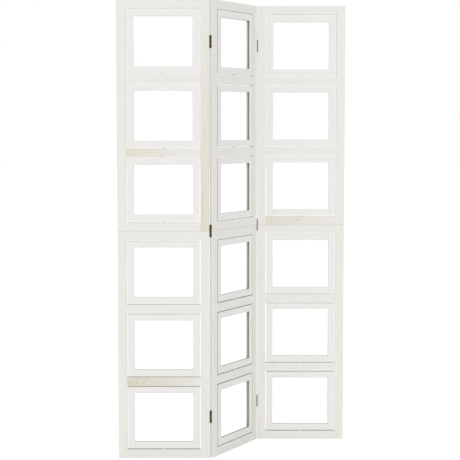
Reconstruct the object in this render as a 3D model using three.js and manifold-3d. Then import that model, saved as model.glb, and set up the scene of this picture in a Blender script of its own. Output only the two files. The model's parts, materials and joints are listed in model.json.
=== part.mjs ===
// A folding room divider in whitewashed wood: three hinged panels, each a ladder of boards
// that holds six picture frames, and every picture frame swivels on an upright pivot.
// Millimetres, +Z up. The viewer stands on the -Y side, and the origin is on the floor under
// the middle of the middle panel. The outer panels face the viewer and the middle one slants.
import * as THREE from "three";
import { mergeVertices } from "three/addons/utils/BufferGeometryUtils.js";
import Module from "manifold-3d";

const wasm = await Module();
wasm.setup();

// ---- Driving dimensions ----

const FIT_GAP = 0.3; // clearance between pieces that touch

// Panels: an upper and a lower half, each of two stiles, four rails and three picture frames.
const PANEL_WIDTH = 340;
const PANEL_HEIGHT = 1700;
const BOARD_WIDTH = 33; // the face width of every stile and rail
const BOARD_THICKNESS = 14;
const HALF_JOINT = 1; // the shadow line where the two halves of a panel meet
const CELLS_PER_HALF = 3;
const FOLD_ANGLE = 60.2; // degrees that the middle panel slants from the outer ones

const DOWEL_RADIUS = 4; // joins the two lengths of a stile
const DOWEL_LENGTH = 6;
const TENON_LENGTH = 15;
const TENON_THICKNESS = 6;
const TENON_HEIGHT = 21;

// Picture frames: a groove for the panes runs round the inside, nearer the front.
const FRAME_GAP = 3; // all round, between a picture frame and the boards
const FRAME_THICKNESS = 14;
const FRAME_SIDE_WIDTH = 25.5;
const FRAME_TOP_WIDTH = 25;
const PANE_GROOVE_WIDTH = 7;
const PANE_GROOVE_DEPTH = 10;
const PANE_GROOVE_OFFSET = 1.5; // from the middle of the thickness towards the front

// Pivots: a pin above and below each picture frame, and a washer that carries its weight.
const PIVOT_RADIUS = 2.25;
const PIVOT_DEPTH = 10; // how far a pin reaches into a rail
const WASHER_RADIUS = 5.5;

// Hinges: narrow butt hinges let into the stiles' outer edges, knuckles on the closing side.
const HINGE_HEIGHT = 46.5;
const HINGE_END_DISTANCE = 153.5; // from a panel's end to the middle of the nearest hinge
const HINGE_AXIS_OFFSET = 0.5; // the pin stands this far outside the panel's face
const PANEL_EDGE_GAP = 0.5; // between the edges of two panels in one line
const LEAF_REACH = 9.3; // from the pin's axis to the leaf's far edge
const LEAF_THICKNESS = 0.8;
const LEAF_RECESS = 1; // how deep the leaf's pocket is cut
const KNUCKLE_RADIUS = 1.9;
const KNUCKLE_COUNT = 5;
const HINGE_PIN_RADIUS = 0.9;
const HINGE_BORE_RADIUS = 1.2;

const ROUND_SIDES = 12;

// ---- Sizes worked out from them ----

const halfHeight = (PANEL_HEIGHT - HALF_JOINT) / 2;
const cellHeight =
  (halfHeight - (CELLS_PER_HALF + 1) * BOARD_WIDTH) / CELLS_PER_HALF;
const cellWidth = PANEL_WIDTH - 2 * BOARD_WIDTH;
const cellPitch = cellHeight + BOARD_WIDTH;
const halfBases = [0, PANEL_HEIGHT - halfHeight]; // where the lower and upper halves start
const hingeHeights = {
  top: PANEL_HEIGHT - HINGE_END_DISTANCE,
  middle: PANEL_HEIGHT / 2,
  bottom: HINGE_END_DISTANCE,
};
// The hinge pin's place from the middle of a panel, along its width and across it.
const axisAlong = (PANEL_WIDTH + PANEL_EDGE_GAP) / 2;
const axisAcross = BOARD_THICKNESS / 2 + HINGE_AXIS_OFFSET;

const colours = {
  board: new THREE.MeshStandardMaterial({ color: 0xf0eee6, roughness: 0.62 }),
  pictureFrame: new THREE.MeshStandardMaterial({
    color: 0xf3f1ea,
    roughness: 0.6,
  }),
  hinge: new THREE.MeshStandardMaterial({
    color: 0x4d4838,
    roughness: 0.45,
    metalness: 0.8,
  }),
};

// ---- Solids ----

function solidOf(geometry) {
  geometry.deleteAttribute("normal");
  geometry.deleteAttribute("uv");
  const merged = mergeVertices(geometry, 1e-4);
  const mesh = new wasm.Mesh({
    numProp: 3,
    vertProperties: new Float32Array(merged.attributes.position.array),
    triVerts: new Uint32Array(merged.index.array),
  });
  return new wasm.Manifold(mesh);
}

// A block between two opposite corners, given in either order.
function block([x0, x1], [y0, y1], [z0, z1]) {
  const geometry = new THREE.BoxGeometry(
    Math.abs(x1 - x0),
    Math.abs(y1 - y0),
    Math.abs(z1 - z0),
  );
  geometry.translate((x0 + x1) / 2, (y0 + y1) / 2, (z0 + z1) / 2);
  return solidOf(geometry);
}

// An upright round bar.
function rod(radius, [x, y], [z0, z1]) {
  const geometry = new THREE.CylinderGeometry(
    radius,
    radius,
    z1 - z0,
    ROUND_SIDES,
  );
  geometry.rotateX(Math.PI / 2);
  geometry.translate(x, y, (z0 + z1) / 2);
  return solidOf(geometry);
}

function namedMesh(name, solid, material) {
  const { vertProperties, triVerts } = solid.getMesh();
  const geometry = new THREE.BufferGeometry();
  geometry.setAttribute(
    "position",
    new THREE.BufferAttribute(vertProperties, 3),
  );
  geometry.setIndex(new THREE.BufferAttribute(triVerts, 1));
  geometry.computeVertexNormals();
  const mesh = new THREE.Mesh(geometry, material);
  mesh.name = name;
  return mesh;
}

// ---- Boards ----

// The height where each rail starts, from the top of the panel down.
function railBases() {
  const bases = [];
  for (const halfBase of halfBases) {
    for (let rail = 0; rail <= CELLS_PER_HALF; rail += 1) {
      bases.push(halfBase + rail * cellPitch);
    }
  }
  return bases.reverse();
}

// The height where each cell starts, from the top of the panel down.
function cellBases() {
  const bases = [];
  for (const halfBase of halfBases) {
    for (let cell = 0; cell < CELLS_PER_HALF; cell += 1) {
      bases.push(halfBase + cell * cellPitch + BOARD_WIDTH);
    }
  }
  return bases.reverse();
}

// The pocket for a hinge leaf in a stile's outer edge, and the notch for the knuckles.
// side is -1 or 1, the end of the panel; face is -1 for the front and 1 for the back.
function hingePocket(side, face, height) {
  const outer = PANEL_WIDTH / 2;
  const span = [
    height - HINGE_HEIGHT / 2 - FIT_GAP,
    height + HINGE_HEIGHT / 2 + FIT_GAP,
  ];
  const leafEdge = axisAcross - LEAF_REACH - FIT_GAP;
  const pocket = block(
    [side * (outer - LEAF_RECESS), side * (outer + 1)],
    [face * leafEdge, face * BOARD_THICKNESS],
    span,
  );
  const notch = rod(
    KNUCKLE_RADIUS + FIT_GAP,
    [side * axisAlong, face * axisAcross],
    span,
  );
  return pocket.add(notch);
}

// A stile: two lengths, one for each half, joined by a dowel, with a mortise for each rail.
function stile(side, hingeFace) {
  const inner = (side * cellWidth) / 2;
  const outer = (side * PANEL_WIDTH) / 2;
  const across = [-BOARD_THICKNESS / 2, BOARD_THICKNESS / 2];
  const [lowerBase, upperBase] = halfBases;
  let solid = block([inner, outer], across, [
    lowerBase,
    lowerBase + halfHeight,
  ]).add(block([inner, outer], across, [upperBase, upperBase + halfHeight]));
  const dowel = rod(
    DOWEL_RADIUS,
    [(inner + outer) / 2, 0],
    [(PANEL_HEIGHT - DOWEL_LENGTH) / 2, (PANEL_HEIGHT + DOWEL_LENGTH) / 2],
  );
  solid = solid.add(dowel);

  const mortiseLow = (BOARD_WIDTH - TENON_HEIGHT) / 2 - FIT_GAP;
  const mortiseAcross = TENON_THICKNESS / 2 + FIT_GAP;
  for (const base of railBases()) {
    const mortise = block(
      [inner - side, inner + side * (TENON_LENGTH + FIT_GAP)],
      [-mortiseAcross, mortiseAcross],
      [base + mortiseLow, base + BOARD_WIDTH - mortiseLow],
    );
    solid = solid.subtract(mortise);
  }
  if (hingeFace) {
    for (const height of Object.values(hingeHeights)) {
      solid = solid.subtract(hingePocket(side, hingeFace, height));
    }
  }
  return solid;
}

// A rail with a tenon at each end, and a pivot hole towards each picture frame beside it.
function rail(base, frameAbove, frameBelow) {
  const shoulder = cellWidth / 2 - FIT_GAP;
  const tenonLow = (BOARD_WIDTH - TENON_HEIGHT) / 2;
  const top = base + BOARD_WIDTH;
  let solid = block(
    [-shoulder, shoulder],
    [-BOARD_THICKNESS / 2, BOARD_THICKNESS / 2],
    [base, top],
  );
  const tenons = block(
    [-cellWidth / 2 - TENON_LENGTH, cellWidth / 2 + TENON_LENGTH],
    [-TENON_THICKNESS / 2, TENON_THICKNESS / 2],
    [base + tenonLow, top - tenonLow],
  );
  solid = solid.add(tenons);

  const holeDepth = PIVOT_DEPTH + FIT_GAP;
  const holeRadius = PIVOT_RADIUS + FIT_GAP;
  if (frameAbove) {
    solid = solid.subtract(rod(holeRadius, [0, 0], [top - holeDepth, top + 1]));
  }
  if (frameBelow) {
    solid = solid.subtract(
      rod(holeRadius, [0, 0], [base - 1, base + holeDepth]),
    );
  }
  return solid;
}

// ---- Picture frames ----

// A picture frame with its two pins and its washer, in the cell that starts at base.
function pictureFrame(base) {
  const halfWidth = cellWidth / 2 - FRAME_GAP;
  const low = base + FRAME_GAP;
  const high = base + cellHeight - FRAME_GAP;
  const openHalf = halfWidth - FRAME_SIDE_WIDTH;
  const openLow = low + FRAME_TOP_WIDTH;
  const openHigh = high - FRAME_TOP_WIDTH;
  const rim = block(
    [-halfWidth, halfWidth],
    [-FRAME_THICKNESS / 2, FRAME_THICKNESS / 2],
    [low, high],
  );
  const opening = block(
    [-openHalf, openHalf],
    [-FRAME_THICKNESS, FRAME_THICKNESS],
    [openLow, openHigh],
  );
  const groove = block(
    [-openHalf - PANE_GROOVE_DEPTH, openHalf + PANE_GROOVE_DEPTH],
    [
      -PANE_GROOVE_OFFSET - PANE_GROOVE_WIDTH / 2,
      -PANE_GROOVE_OFFSET + PANE_GROOVE_WIDTH / 2,
    ],
    [openLow - PANE_GROOVE_DEPTH, openHigh + PANE_GROOVE_DEPTH],
  );
  const centre = [0, 0];
  const topPin = rod(PIVOT_RADIUS, centre, [
    high - 1,
    high + FRAME_GAP + PIVOT_DEPTH,
  ]);
  const bottomPin = rod(PIVOT_RADIUS, centre, [
    low - FRAME_GAP - PIVOT_DEPTH,
    low + 1,
  ]);
  const washer = rod(WASHER_RADIUS, centre, [
    low - FRAME_GAP + FIT_GAP,
    low + 1,
  ]);
  return rim
    .subtract(opening)
    .subtract(groove)
    .add(topPin)
    .add(bottomPin)
    .add(washer);
}

// ---- Hinges ----

// One leaf of a hinge, in its panel's own frame. The leaf with the pin has the outer
// knuckles, and the pin is fixed in them; the other leaf's knuckles turn on the pin.
function hingeLeaf(side, face, height, hasPin) {
  const low = height - HINGE_HEIGHT / 2;
  const high = height + HINGE_HEIGHT / 2;
  const knuckleHeight =
    (HINGE_HEIGHT - (KNUCKLE_COUNT - 1) * FIT_GAP) / KNUCKLE_COUNT;
  const axis = [side * axisAlong, face * axisAcross];
  const plateInner = PANEL_WIDTH / 2 - LEAF_RECESS + FIT_GAP;
  let solid = block(
    [side * plateInner, side * (plateInner + LEAF_THICKNESS)],
    [face * (axisAcross - LEAF_REACH), face * axisAcross],
    [low, high],
  );
  for (let index = 0; index < KNUCKLE_COUNT; index += 1) {
    const start = low + index * (knuckleHeight + FIT_GAP);
    const span = [start, start + knuckleHeight];
    const isOwn = (index % 2 === 0) === hasPin;
    if (isOwn) {
      solid = solid.add(rod(KNUCKLE_RADIUS, axis, span));
    } else {
      const gap = [span[0] - FIT_GAP, span[1] + FIT_GAP];
      solid = solid.subtract(rod(KNUCKLE_RADIUS + FIT_GAP, axis, gap));
    }
  }
  const pinSpan = [low - 1, high + 1];
  return hasPin
    ? solid.add(rod(HINGE_PIN_RADIUS, axis, [low, high]))
    : solid.subtract(rod(HINGE_BORE_RADIUS, axis, pinSpan));
}

// ---- Panels ----

// hinges lists the panel's hinged edges: {hinge, side, face, hasPin}.
function panel(name, hinges) {
  const group = new THREE.Group();
  for (const [sideName, side] of [
    ["left", -1],
    ["right", 1],
  ]) {
    const hinged = hinges.find((hinge) => hinge.side === side);
    group.add(
      namedMesh(
        `${name}_panel_${sideName}_stile`,
        stile(side, hinged ? hinged.face : 0),
        colours.board,
      ),
    );
  }
  railBases().forEach((base, index) => {
    const placeInHalf = index % (CELLS_PER_HALF + 1);
    const solid = rail(base, placeInHalf > 0, placeInHalf < CELLS_PER_HALF);
    group.add(
      namedMesh(`${name}_panel_rail_${index + 1}`, solid, colours.board),
    );
  });
  cellBases().forEach((base, index) => {
    group.add(
      namedMesh(
        `${name}_picture_frame_${index + 1}`,
        pictureFrame(base),
        colours.pictureFrame,
      ),
    );
  });
  for (const { hinge, side, face, hasPin } of hinges) {
    for (const [place, height] of Object.entries(hingeHeights)) {
      const leafName = hasPin ? "pin_leaf" : "plain_leaf";
      group.add(
        namedMesh(
          `${hinge}_hinge_${place}_${leafName}`,
          hingeLeaf(side, face, height, hasPin),
          colours.hinge,
        ),
      );
    }
  }
  return group;
}

const screen = new THREE.Group();

// The left hinges close the panels back to back, and the right ones face to face.
const middlePanel = panel("middle", [
  { hinge: "left", side: -1, face: 1, hasPin: true },
  { hinge: "right", side: 1, face: -1, hasPin: true },
]);
middlePanel.rotation.z = THREE.MathUtils.degToRad(FOLD_ANGLE);

const leftPanel = panel("left", [
  { hinge: "left", side: 1, face: 1, hasPin: false },
]);
const rightPanel = panel("right", [
  { hinge: "right", side: -1, face: -1, hasPin: false },
]);

// The right-hand pin, turned with the middle panel; the left-hand one is opposite it.
const rightPin = new THREE.Vector3(axisAlong, -axisAcross, 0).applyEuler(
  middlePanel.rotation,
);
rightPanel.position.set(rightPin.x + axisAlong, rightPin.y + axisAcross, 0);
leftPanel.position.copy(rightPanel.position).negate();

screen.add(leftPanel, middlePanel, rightPanel);

export default screen;
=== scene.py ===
"""A three-panel folding room divider in whitewashed pine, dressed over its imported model.

Metres, +Z up. The viewer stands on the -Y side. Geometry Nodes trees make the boards, the
picture frames, the pivots, the hinges and the screws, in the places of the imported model.
"""

import json
import math

import bpy
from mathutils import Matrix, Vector


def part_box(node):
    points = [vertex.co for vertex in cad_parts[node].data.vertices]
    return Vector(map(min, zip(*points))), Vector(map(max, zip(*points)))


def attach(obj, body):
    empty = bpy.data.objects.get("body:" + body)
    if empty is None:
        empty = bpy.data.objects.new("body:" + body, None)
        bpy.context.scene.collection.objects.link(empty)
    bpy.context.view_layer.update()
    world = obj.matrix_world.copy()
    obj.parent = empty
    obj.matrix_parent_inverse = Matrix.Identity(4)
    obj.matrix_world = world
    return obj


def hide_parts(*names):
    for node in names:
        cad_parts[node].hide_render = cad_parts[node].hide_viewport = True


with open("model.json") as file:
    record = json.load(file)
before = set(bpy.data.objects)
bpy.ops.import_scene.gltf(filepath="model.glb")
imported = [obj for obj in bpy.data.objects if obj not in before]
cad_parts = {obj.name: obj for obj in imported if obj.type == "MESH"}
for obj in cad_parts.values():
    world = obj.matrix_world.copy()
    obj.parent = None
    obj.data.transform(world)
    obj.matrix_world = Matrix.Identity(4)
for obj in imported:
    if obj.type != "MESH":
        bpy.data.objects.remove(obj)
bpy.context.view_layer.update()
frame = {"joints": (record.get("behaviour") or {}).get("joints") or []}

MM = 0.001


# ---- The camera ----
# It stands about five metres in front of the divider, a little left of its middle, and looks
# slightly down. A small shift helps to keep the uprights parallel, as in the photograph.

CAMERA_PLACE = (-15.3 * MM, -5080.1 * MM, 1257.6 * MM)
CAMERA_PITCH = 4.088  # degrees down
CAMERA_LENS = 104.69  # millimetres, on a sensor 36 mm wide
CAMERA_SHIFT = -0.03

camera_data = bpy.data.cameras.new("camera")
camera_data.sensor_width = 36
camera_data.lens = CAMERA_LENS
camera_data.shift_y = CAMERA_SHIFT
camera = bpy.data.objects.new("camera", camera_data)
camera.location = CAMERA_PLACE
camera.rotation_euler = (math.radians(90 - CAMERA_PITCH), 0, 0)
bpy.context.scene.collection.objects.link(camera)
bpy.context.scene.camera = camera
bpy.context.scene.view_settings.view_transform = "Standard"


# ---- The floor and the light ----
# A white studio: a pale floor, soft light from all round that is stronger in front, and two
# large lamps, in front of the divider and high behind it. The camera and the hinges see the
# room as plain white.

FRONT_LIGHT = 0.835  # the strength of the room in front, and behind
BACK_LIGHT = 0.40
LAMPS = {
    "front_lamp": (0.14, 35, 0),  # light on a surface that faces it, height and turn in degrees
    "back_lamp": (0.38, 45, 180),
}
LAMP_SPREAD = 25  # degrees across
FLOOR_REACH = 30
FLOOR_GLOW = 0.32  # lifts the lit floor to plain white, and leaves the object's shadow


def linear(colour):
    """An sRGB colour in hex as the linear colour that a socket takes."""
    channels = [int(colour[place : place + 2], 16) / 255 for place in (1, 3, 5)]
    red, green, blue = (
        value / 12.92 if value <= 0.04045 else ((value + 0.055) / 1.055) ** 2.4
        for value in channels
    )
    return red, green, blue, 1


def add(tree, kind, sockets=(), **settings):
    """Adds a node, changes its settings, and fills its sockets with values or links. They are
    given by name or number, or in a row from the first one on. A list goes into one socket."""
    node = tree.nodes.new(kind)
    for name, value in settings.items():
        setattr(node, name, value)
    filled = sockets.items() if isinstance(sockets, dict) else enumerate(sockets)
    for name, given in filled:
        for value in given if isinstance(given, list) else [given]:
            if isinstance(value, bpy.types.Node):
                value = value.outputs[0]
            if isinstance(value, bpy.types.NodeSocket):
                tree.links.new(value, node.inputs[name])
            else:
                node.inputs[name].default_value = value
    return node


def seen_by_eye(tree):
    """1 for a ray from the camera, off metal or through glass; 0 for one that brings light."""
    rays = add(tree, "ShaderNodeLightPath").outputs
    seen = rays["Is Camera Ray"]
    for other in ("Is Glossy Ray", "Is Transmission Ray"):
        seen = add(tree, "ShaderNodeMath", (seen, rays[other]), operation="MAXIMUM")
    return seen


room = bpy.data.worlds.new("white_room")
room.use_nodes = True
tree = room.node_tree
tree.nodes.clear()
direction = add(tree, "ShaderNodeTexCoord").outputs["Generated"]
towards_back = add(tree, "ShaderNodeSeparateXYZ", (direction,)).outputs["Y"]
light = add(
    tree,
    "ShaderNodeMapRange",
    (towards_back, -0.5, 0.5, FRONT_LIGHT, BACK_LIGHT),
    interpolation_type="SMOOTHSTEP",
)
strength = add(
    tree, "ShaderNodeMapRange", {"Value": seen_by_eye(tree), "To Min": light, "To Max": 1.0}
)
walls = add(tree, "ShaderNodeBackground", {"Color": (1, 1, 1, 1), "Strength": strength})
add(tree, "ShaderNodeOutputWorld", {"Surface": walls})
bpy.context.scene.world = room

for name, (lamp_light, height, lamp_turn) in LAMPS.items():
    lamp_data = bpy.data.lights.new(name, "SUN")
    lamp_data.energy = lamp_light * math.pi
    lamp_data.angle = math.radians(LAMP_SPREAD)
    lamp = bpy.data.objects.new(name, lamp_data)
    lamp.rotation_euler = (math.radians(90 - height), 0, math.radians(lamp_turn))
    bpy.context.scene.collection.objects.link(lamp)

# Matt white paint, rolled on. It gives the eye an even white with no sheen.
floor_paint = bpy.data.materials.new("matt_white_floor_paint")
floor_paint.use_nodes = True
tree = floor_paint.node_tree
tree.nodes.clear()
matt = add(tree, "ShaderNodeBsdfDiffuse", {"Color": linear("#f2f2f0")})
glow = add(tree, "ShaderNodeMath", (seen_by_eye(tree), FLOOR_GLOW), operation="MULTIPLY")
glow = add(tree, "ShaderNodeEmission", {"Strength": glow})
surface = add(tree, "ShaderNodeAddShader", (matt, glow))
add(tree, "ShaderNodeOutputMaterial", {"Surface": surface})

corners = [(-1, -1), (1, -1), (1, 1), (-1, 1)]
floor_mesh = bpy.data.meshes.new("floor")
floor_mesh.from_pydata(
    [(x * FLOOR_REACH, y * FLOOR_REACH, 0) for x, y in corners], [], [(0, 1, 2, 3)]
)
floor_mesh.materials.append(floor_paint)
floor = bpy.data.objects.new("floor", floor_mesh)
bpy.context.scene.collection.objects.link(floor)


# ---- The stiles ----
# The uprights of each panel: two lengths of pine board, end on end, with a fine line where
# they meet and a dowel between them. Planed, the edges eased, mortised for the rails, and
# pocketed for the hinges. Brushed with a thin white wash that lets the grain through.

SIDES = {"left": -1, "right": 1}

left_low, left_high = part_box("left_panel_left_stile")
right_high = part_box("left_panel_right_stile")[1]
PANEL_WIDTH = right_high.x - left_low.x
PANEL_HEIGHT = left_high.z
BOARD_WIDTH = left_high.x - left_low.x
BOARD_THICKNESS = left_high.y - left_low.y
BOARD_EASE = 0.35 * MM
OUTER_EASE = 2.8 * MM  # the upright edges on the outside of a panel are rounded
BACK_EDGE_SHADE = 1.8  # how much painted shade greys the ones at the back
HALF_JOINT = 0.4 * MM  # a fine line; the solids are kept a full millimetre apart
STILE_LENGTH = (PANEL_HEIGHT - HALF_JOINT) / 2

FIT = 0.3 * MM  # the play of a tenon in its mortise, a pin in its hole, a leaf in its pocket
MORTISE = Vector((15, 6, 21)) * MM + Vector((1, 2, 2)) * FIT
DOWEL_RADIUS = 4 * MM
DOWEL_REACH = 3 * MM
CUT = 1 * MM  # how far a cutter starts outside the wood

RAILS_TO_A_HALF = 4
RAILS = range(1, 2 * RAILS_TO_A_HALF + 1)  # from the top down
rail_bases = [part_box(f"left_panel_rail_{rail}")[0].z for rail in RAILS]
RAIL_PITCH = rail_bases[0] - rail_bases[1]

# The hinges: three to an edge, let into the boards, their pins just outside one face. Each
# edge is a panel, a side of it (-1 is the left), the face that the pin is on (-1 is the front)
# and whether the leaf there carries the pin.
HINGES = {
    "left": (("left", 1, 1, False), ("middle", -1, 1, True)),
    "right": (("middle", 1, -1, True), ("right", -1, -1, False)),
}
HINGE_PLACES = ("bottom", "middle", "top")
LEAF_REACH = 9.3 * MM  # from the pin's axis to the far edge of a leaf
LEAF_RECESS = 1 * MM
KNUCKLE_RADIUS = 1.9 * MM
hinge_boxes = [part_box(f"left_hinge_{place}_pin_leaf") for place in HINGE_PLACES]
HINGE_HEIGHT = hinge_boxes[0][1].z - hinge_boxes[0][0].z
hinge_centres = [(low.z + high.z) / 2 for low, high in hinge_boxes]
HINGE_PITCH = hinge_centres[1] - hinge_centres[0]

# A panel's middle is on its picture frames' pivots. The middle panel's turn is what takes its
# right hinge pin away from the place that it has on a panel that faces the viewer.
joints = {joint["name"]: Vector(joint["pos_m"]) for joint in frame["joints"]}
places = {}
for panel in ("left", "middle", "right"):
    pivot = joints[f"{panel}_frame_1_swivel"]
    places[panel] = Vector((pivot.x, pivot.y, 0))
left_pin = joints["left_panel_fold"] - places["left"]
right_pin = joints["right_panel_fold"] - places["middle"]
PIN_ALONG = left_pin.x
PIN_ACROSS = left_pin.y
turn = math.atan2(right_pin.y, right_pin.x) + math.atan2(PIN_ACROSS, PIN_ALONG)
turns = {"left": 0.0, "middle": turn, "right": 0.0}


def whitewashed_pine(name, wash, cool_wash, cover):
    """Pine, planed and lightly brushed, under a matt white wash that covers that much of it.

    It gives the eye a warm white with soft grey and cream streaks along the board, growth
    rings that show where the wash is thin, and bare wood on the rubbed edges. The sides that
    lie in gaps, and the back of the outer upright edges, are greyed with painted shade. The
    pattern is solid, and follows the board's place in its log: x across, y through, z along it.
    """
    early_wood = linear("#dccfa2")
    late_wood = linear("#a8905c")
    knot_wood = linear("#7d6540")
    brushed_wood = linear("#8f7c52")  # where the brush has opened the pores
    # The grey below is painted shade, for the sides that lie in gaps.
    painted_shade_grey = linear("#8d897f")
    ring_width = 3.4 * MM
    fibre = Vector((1 / 0.9, 1 / 0.9, 1 / 70)) / MM
    streak = Vector((1 / 9, 1 / 9, 1 / 260)) / MM
    wander = Vector((1 / 45, 1 / 45, 1 / 320)) / MM
    wander_reach = 9 * MM
    knot_radius = 7 * MM
    knot_push = 12 * MM

    material = bpy.data.materials.new(name)
    material.use_nodes = True
    tree = material.node_tree
    tree.nodes.clear()
    smooth = {"interpolation_type": "SMOOTHSTEP"}

    def pattern(scale, detail):
        stretched = add(tree, "ShaderNodeVectorMath", (place, scale), operation="MULTIPLY")
        return add(
            tree, "ShaderNodeTexNoise", {"Vector": stretched, "Detail": detail, "Scale": 1}
        )

    place = add(tree, "ShaderNodeAttribute", attribute_name="log_place").outputs["Vector"]
    knot = add(tree, "ShaderNodeAttribute", attribute_name="knot_place").outputs["Vector"]
    thin = add(tree, "ShaderNodeAttribute", attribute_name="thin_wash").outputs["Fac"]
    rub = add(tree, "ShaderNodeAttribute", attribute_name="edge_rub").outputs["Fac"]
    # How much painted shade greys this place: the sides in gaps and the back of outer upright
    # edges.
    narrow = add(tree, "ShaderNodeAttribute", attribute_name="thin_coat").outputs["Fac"]

    # Growth rings round the pith, which wanders, and bends round a knot.
    drift = pattern(wander, 1.0).outputs["Color"]
    drift = add(tree, "ShaderNodeVectorMath", (drift, (0.5,) * 3), operation="SUBTRACT")
    knot = add(tree, "ShaderNodeVectorMath", (knot, (1, 0, 0.6)), operation="MULTIPLY")
    to_knot = add(tree, "ShaderNodeVectorMath", (knot,), operation="LENGTH").outputs["Value"]
    push = add(
        tree, "ShaderNodeMapRange", (to_knot, 5 * knot_radius, 0.0, 0.0, knot_push), **smooth
    )
    bent = add(
        tree,
        "ShaderNodeVectorMath",
        (drift, (wander_reach,) * 3, place),
        operation="MULTIPLY_ADD",
    )
    bent = add(tree, "ShaderNodeVectorMath", (bent, push), operation="ADD")
    rings = add(
        tree,
        "ShaderNodeTexWave",
        {"Vector": bent, "Scale": 2 * math.pi / (20 * ring_width)},
        wave_type="RINGS",
        rings_direction="Z",
        wave_profile="SAW",
    ).outputs["Fac"]
    late = add(tree, "ShaderNodeMath", (rings, 2.5), operation="POWER")
    fibres = pattern(fibre, 3.0).outputs["Fac"]
    heart = add(
        tree, "ShaderNodeMapRange", (to_knot, knot_radius, 0.3 * knot_radius), **smooth
    )
    knotty = add(tree, "ShaderNodeMath", (heart, 0.8), operation="MULTIPLY")
    pores = add(tree, "ShaderNodeMapRange", (fibres, 0.35, 0.75, 0.0, 0.35), **smooth)
    wood = early_wood
    for share, tint in ((late, late_wood), (knotty, knot_wood), (pores, brushed_wood)):
        wood = add(tree, "ShaderNodeMix", {0: share, 6: wood, 7: tint}, data_type="RGBA")
        wood = wood.outputs[2]

    # The wash, in long streaks that are a little cooler or warmer. How much wood shows through
    # it depends on the rings, the board's own thin stretches, the knots and the rubbed edges.
    # The narrow sides that lie in gaps, and the back of the outer upright edges, are mixed
    # towards grey: painted shade.
    streaks = pattern(streak, 2.0).outputs["Fac"]
    paint = add(
        tree,
        "ShaderNodeMix",
        {
            0: add(tree, "ShaderNodeMapRange", (streaks, 0.3, 0.7), **smooth),
            6: linear(cool_wash),
            7: linear(wash),
        },
        data_type="RGBA",
    )
    bare = 1 - cover
    for cause, share in (
        (late, 0.05),
        (thin, add(tree, "ShaderNodeMapRange", (streaks, 0.3, 0.65, 0.35, 0.95), **smooth)),
        (heart, 0.15),
        (rub, add(tree, "ShaderNodeMapRange", (fibres, 0.45, 0.6, 0.0, 0.14), **smooth)),
    ):
        bare = add(tree, "ShaderNodeMath", (cause, share, bare), operation="MULTIPLY_ADD")
    painted_shade_share = add(tree, "ShaderNodeMath", (narrow, 0.55), operation="MULTIPLY")
    colour = paint.outputs[2]
    for share, tint in ((bare, wood), (painted_shade_share, painted_shade_grey)):
        colour = add(tree, "ShaderNodeMix", {0: share, 6: colour, 7: tint}, data_type="RGBA")
        colour = colour.outputs[2]

    height = add(tree, "ShaderNodeMath", (fibres, 0.6, late), operation="MULTIPLY_ADD")
    relief = add(
        tree, "ShaderNodeBump", {"Height": height, "Distance": 0.12 * MM, "Strength": 0.5}
    )
    roughness = add(tree, "ShaderNodeMapRange", (fibres, 0.3, 0.7, 0.52, 0.7), **smooth)
    finish = add(
        tree,
        "ShaderNodeBsdfPrincipled",
        {"Base Color": colour, "Roughness": roughness, "Normal": relief, "IOR": 1.45},
    )
    add(tree, "ShaderNodeOutputMaterial", {"Surface": finish})
    return material


board_finish = whitewashed_pine("whitewashed_pine_board", "#f3f2ec", "#f0efee", 0.97)


def new_tree(name, **inputs):
    """Starts a Geometry Nodes tree with these named inputs, and also gives their sockets.
    An input's kind is its starting value's kind, and None is a mesh."""
    kinds = {bool: "Bool", int: "Int", float: "Float", Vector: "Vector"}
    tree = bpy.data.node_groups.new(name, "GeometryNodeTree")
    for label, start in inputs.items():
        kind = kinds.get(type(start), "Geometry")
        socket = tree.interface.new_socket(
            label, in_out="INPUT", socket_type=f"NodeSocket{kind}"
        )
        if start is not None:
            socket.default_value = start
    tree.interface.new_socket(
        "Geometry", in_out="OUTPUT", socket_type="NodeSocketGeometry"
    )
    return tree, tree.nodes.new("NodeGroupInput").outputs


CUT_AWAY = {"operation": "DIFFERENCE", "solver": "EXACT"}
GROW_TOGETHER = {"operation": "UNION", "solver": "EXACT"}


def row_of(tree, shape, count, start, step, **more):
    """Copies of a shape in a row."""
    points = add(
        tree,
        "GeometryNodeMeshLine",
        {"Count": count, "Start Location": start, "Offset": step},
    )
    copies = add(
        tree,
        "GeometryNodeInstanceOnPoints",
        {"Points": points, "Instance": shape, **more},
    )
    return add(tree, "GeometryNodeRealizeInstances", (copies,))


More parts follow.
